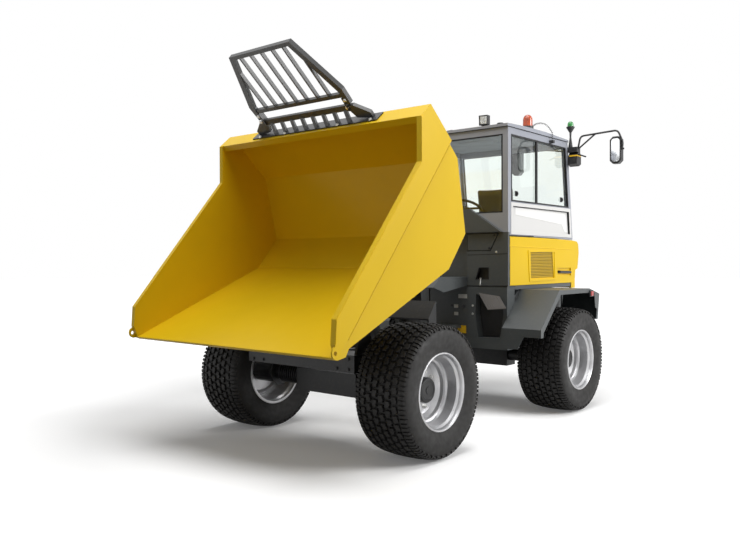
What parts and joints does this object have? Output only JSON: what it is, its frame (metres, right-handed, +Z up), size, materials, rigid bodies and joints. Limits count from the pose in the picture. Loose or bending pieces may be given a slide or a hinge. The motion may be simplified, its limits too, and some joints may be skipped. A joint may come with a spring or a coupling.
{
  "type": "site dumper",
  "caption": "Articulated front-tip site dumper with enclosed cab, turning operator seat, flotation tyres and a wide yellow skip standing fully tipped.",
  "frame": {"origin": "centre of the bounding box's footprint, on the ground the wheels stand on", "axes": "+X forward, from the cab towards the skip; +Y to the machine's left; +Z up"},
  "size_m": [4.5876, 2.6158, 3.1435],
  "materials": {
    "tyre": "matt black rubber, worn",
    "wheel_silver": "silver paint, dusty",
    "body_yellow": "glossy warm yellow paint",
    "dark_grey": "semi-matt dark grey paint",
    "cab_grey": "semi-gloss blue grey paint",
    "black_paint": "semi-matt black paint",
    "black_plastic": "textured black plastic",
    "seat_fabric": "dark grey woven seat cloth",
    "chrome": "hard chrome cylinder rod",
    "clear_glass": "clear safety glass",
    "white_pane": "pale grey film on the lower pane",
    "amber_lens": "orange beacon lens",
    "green_lens": "green beacon lens",
    "engine_grey": "painted engine castings"
  },
  "bodies": {
    "rear_frame": {"rear_chassis": "dark_grey", "rear_axle": "black_paint", "steering_pin": "black_paint", "front_bulkhead": "dark_grey", "front_cowl": "dark_grey", "deck_nose": "dark_grey", "left_tank": "dark_grey", "left_fender": "dark_grey", "left_work_light": "black_plastic", "left_mirror": "black_plastic", "right_tank": "dark_grey", "right_fender": "dark_grey", "right_work_light": "black_plastic", "right_mirror": "black_plastic", "engine_block": "engine_grey", "cab_floor": "dark_grey", "cab_frame": "cab_grey", "cab_roof": "cab_grey", "windscreen": "clear_glass", "rear_window": "clear_glass", "left_window": "clear_glass", "right_window": "clear_glass", "left_lower_pane": "white_pane", "right_side_panel": "body_yellow", "amber_beacon": "amber_lens", "green_beacon": "green_lens", "middle_mirror": "black_plastic", "rear_work_light": "black_plastic", "beacon_cord": "black_plastic", "cord_socket": "black_plastic"},
    "front_frame": {"front_chassis": "black_paint", "front_axle": "black_paint"},
    "skip": {"skip": "body_yellow", "skip_guard": "black_paint", "guard_foot": "black_paint"},
    "front_left_wheel": {"front_left_tyre": "tyre", "front_left_rim": "wheel_silver"},
    "front_right_wheel": {"front_right_tyre": "tyre", "front_right_rim": "wheel_silver"},
    "rear_left_wheel": {"rear_left_tyre": "tyre", "rear_left_rim": "wheel_silver"},
    "rear_right_wheel": {"rear_right_tyre": "tyre", "rear_right_rim": "wheel_silver"},
    "cab_door": {"cab_door": "cab_grey", "door_glass": "clear_glass"},
    "left_side_panel": {"left_side_panel": "body_yellow"},
    "service_hatch": {"service_hatch": "dark_grey"},
    "engine_hood": {"engine_hood": "body_yellow"},
    "operator_station": {"station_base": "black_plastic", "operator_seat": "seat_fabric", "steering_wheel": "black_plastic"},
    "tip_barrel": {"tip_barrel": "black_paint"},
    "tip_rod": {"tip_rod": "chrome"},
    "left_steer_barrel": {"left_steer_barrel": "black_paint"},
    "left_steer_rod": {"left_steer_rod": "chrome"},
    "right_steer_barrel": {"right_steer_barrel": "black_paint"},
    "right_steer_rod": {"right_steer_rod": "chrome"}
  },
  "joints": [
    {"name": "steer", "type": "hinge", "parent": "rear_frame", "child": "front_frame", "pos_m": [-0.14977, 0, 0.66], "axis": [0, 0, 1], "range_deg": [-33, 33]},
    {"name": "skip_tip", "type": "hinge", "parent": "front_frame", "child": "skip", "pos_m": [1.31022, 0, 1.06], "axis": [0, 1, 0], "range_deg": [-50, 0]},
    {"name": "front_left_wheel_spin", "type": "hinge", "parent": "front_frame", "child": "front_left_wheel", "pos_m": [1.06622, 0.913, 0.5175], "axis": [0, 1, 0], "continuous": true},
    {"name": "front_right_wheel_spin", "type": "hinge", "parent": "front_frame", "child": "front_right_wheel", "pos_m": [1.06622, -0.913, 0.5175], "axis": [0, 1, 0], "continuous": true},
    {"name": "rear_left_wheel_spin", "type": "hinge", "parent": "rear_frame", "child": "rear_left_wheel", "pos_m": [-1.36577, 0.913, 0.5175], "axis": [0, 1, 0], "continuous": true},
    {"name": "rear_right_wheel_spin", "type": "hinge", "parent": "rear_frame", "child": "rear_right_wheel", "pos_m": [-1.36577, -0.913, 0.5175], "axis": [0, 1, 0], "continuous": true},
    {"name": "cab_door_swing", "type": "hinge", "parent": "rear_frame", "child": "cab_door", "pos_m": [-1.39977, -0.7, 2], "axis": [0, 0, -1], "range_deg": [0, 100]},
    {"name": "side_panel_swing", "type": "hinge", "parent": "rear_frame", "child": "left_side_panel", "pos_m": [-0.70978, 0.7, 1.5], "axis": [0, 0, -1], "range_deg": [0, 80]},
    {"name": "service_hatch_swing", "type": "hinge", "parent": "rear_frame", "child": "service_hatch", "pos_m": [-0.66978, 0.24, 1.67], "axis": [0, 0, -1], "range_deg": [0, 100]},
    {"name": "engine_hood_lift", "type": "hinge", "parent": "rear_frame", "child": "engine_hood", "pos_m": [-2.18978, 0, 1.69], "axis": [0, 1, 0], "range_deg": [0, 75]},
    {"name": "station_turn", "type": "hinge", "parent": "rear_frame", "child": "operator_station", "pos_m": [-1.38977, 0, 1.3], "axis": [0, 0, 1], "range_deg": [0, 180]},
    {"name": "tip_barrel_swing", "type": "hinge", "parent": "front_frame", "child": "tip_barrel", "pos_m": [0.27022, 0, 0.52], "axis": [0, 1, 0], "range_deg": [0, 18]},
    {"name": "tip_rod_slide", "type": "slide", "parent": "tip_barrel", "child": "tip_rod", "axis": [0.5448, 0, 0.8386], "range_m": [-0.425, 0]},
    {"name": "left_steer_barrel_swing", "type": "hinge", "parent": "rear_frame", "child": "left_steer_barrel", "pos_m": [-0.60977, 0.19, 0.655], "axis": [0, 0, 1], "range_deg": [-11, 11]},
    {"name": "left_steer_rod_slide", "type": "slide", "parent": "left_steer_barrel", "child": "left_steer_rod", "axis": [1, 0, 0], "range_m": [-0.12, 0.12]},
    {"name": "right_steer_barrel_swing", "type": "hinge", "parent": "rear_frame", "child": "right_steer_barrel", "pos_m": [-0.60977, -0.19, 0.655], "axis": [0, 0, 1], "range_deg": [-11, 11]},
    {"name": "right_steer_rod_slide", "type": "slide", "parent": "right_steer_barrel", "child": "right_steer_rod", "axis": [1, 0, 0], "range_m": [-0.12, 0.12]}
  ],
  "couplings": [
    {"joint": "tip_barrel_swing", "follows": "skip_tip", "ratio": -0.35076},
    {"joint": "tip_rod_slide", "follows": "skip_tip", "m_per_rad": 0.48442},
    {"joint": "left_steer_barrel_swing", "follows": "steer", "ratio": 0.324},
    {"joint": "left_steer_rod_slide", "follows": "steer", "m_per_rad": -0.188},
    {"joint": "right_steer_barrel_swing", "follows": "steer", "ratio": 0.324},
    {"joint": "right_steer_rod_slide", "follows": "steer", "m_per_rad": 0.188}
  ]
}
